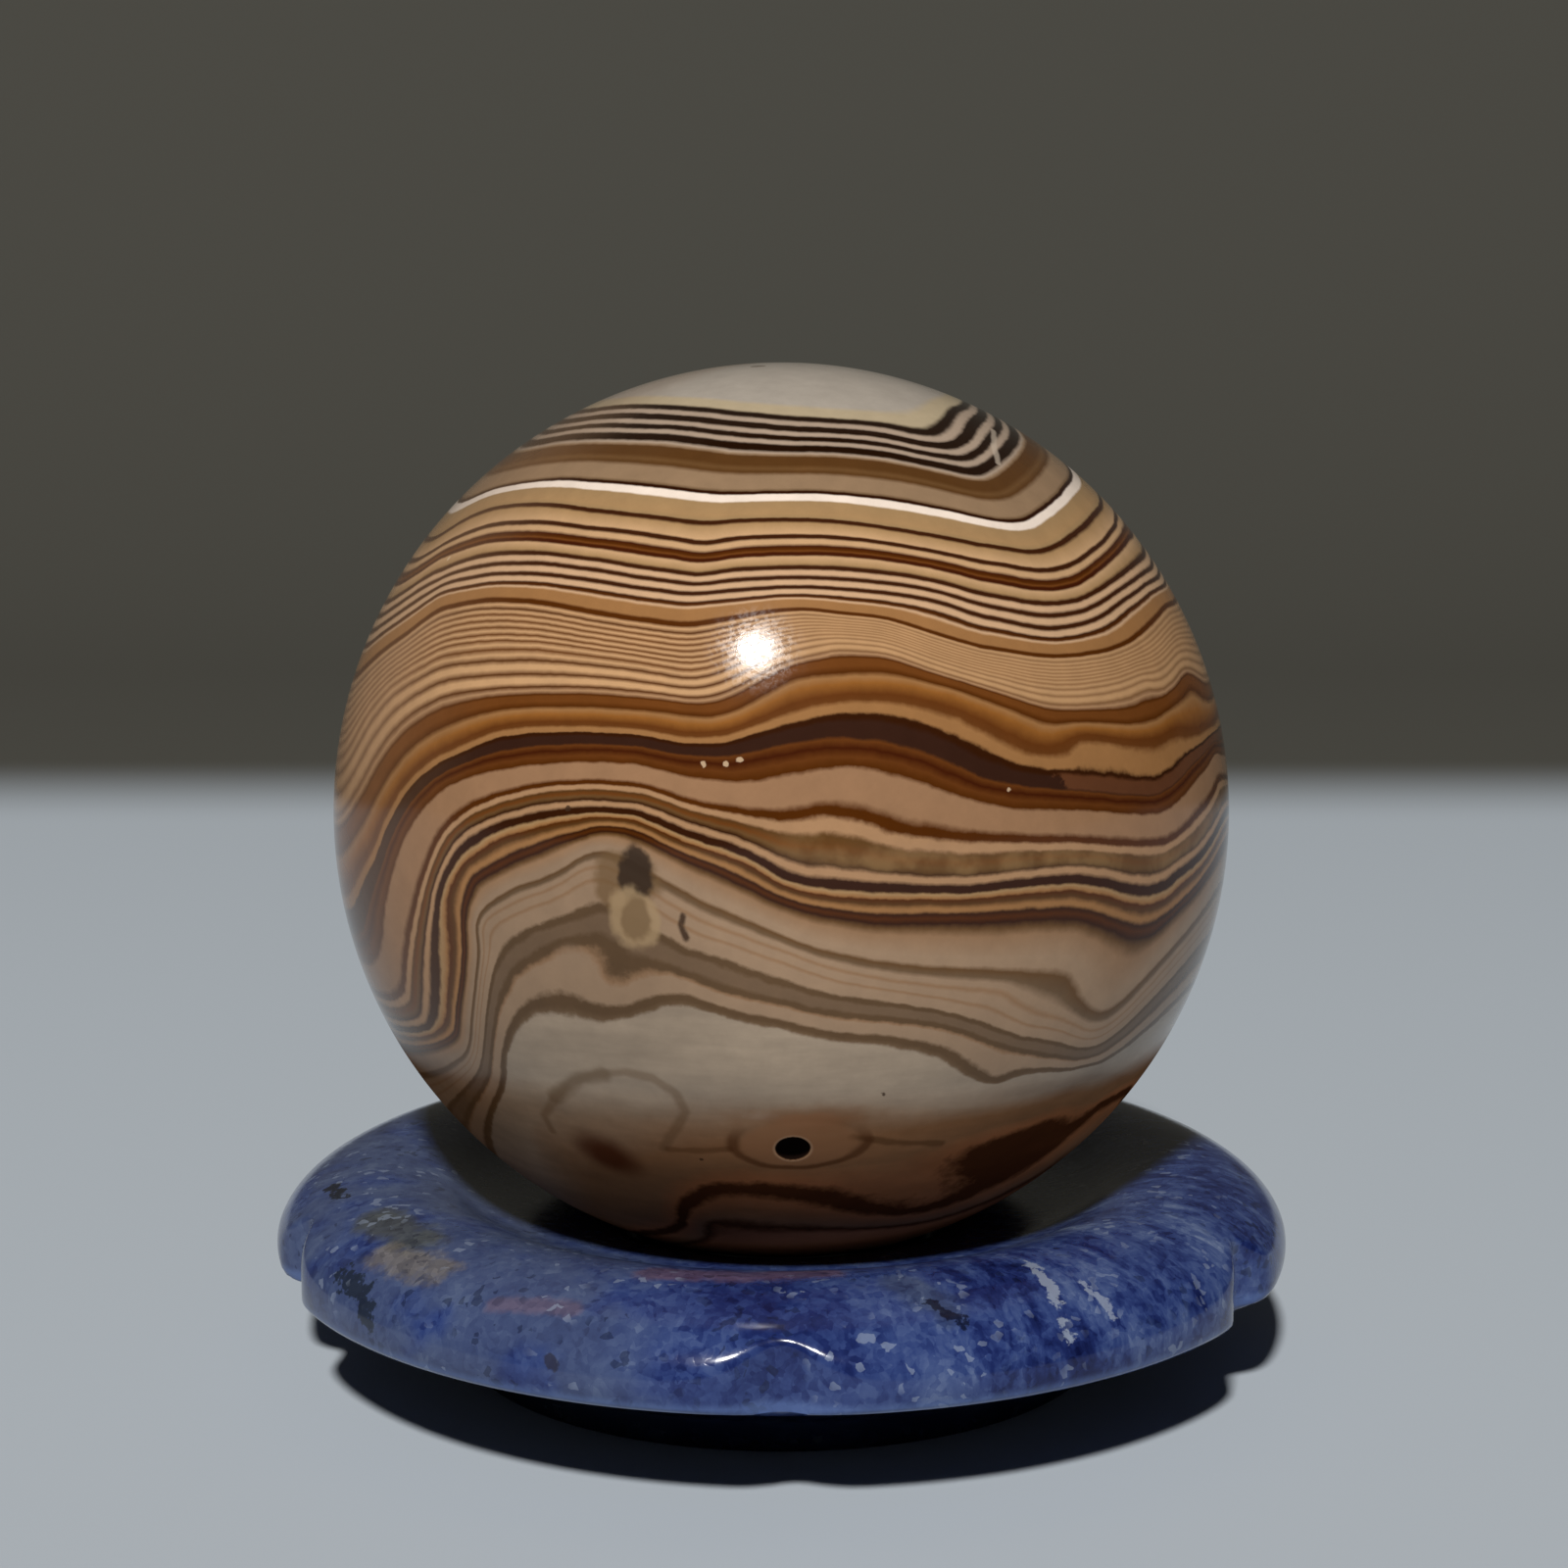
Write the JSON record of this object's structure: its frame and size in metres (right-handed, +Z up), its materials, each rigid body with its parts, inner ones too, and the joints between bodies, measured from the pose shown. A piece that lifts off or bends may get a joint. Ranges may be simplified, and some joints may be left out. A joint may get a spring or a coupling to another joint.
{
  "type": "agate sphere on stand",
  "caption": "Polished sphere of banded agate resting in a low, lobed ring stand carved from blue stone, with a flat foot to stand on.",
  "frame": {"origin": "centre of the stand's flat foot, on the surface that the part rests on, straight under the sphere's centre", "axes": "+Z up, out of the stand towards the sphere; -Y is the front, the side with the small open pit"},
  "size_m": [0.069, 0.0685, 0.0669],
  "materials": {
    "agate": "polished, banded cream, tan, amber and near-black brown",
    "blue_stone": "polished, mottled royal blue with white, grey and rust-pink patches"
  },
  "bodies": {
    "root": {"agate_sphere": "agate", "stone_stand": "blue_stone"}
  },
  "joints": []
}
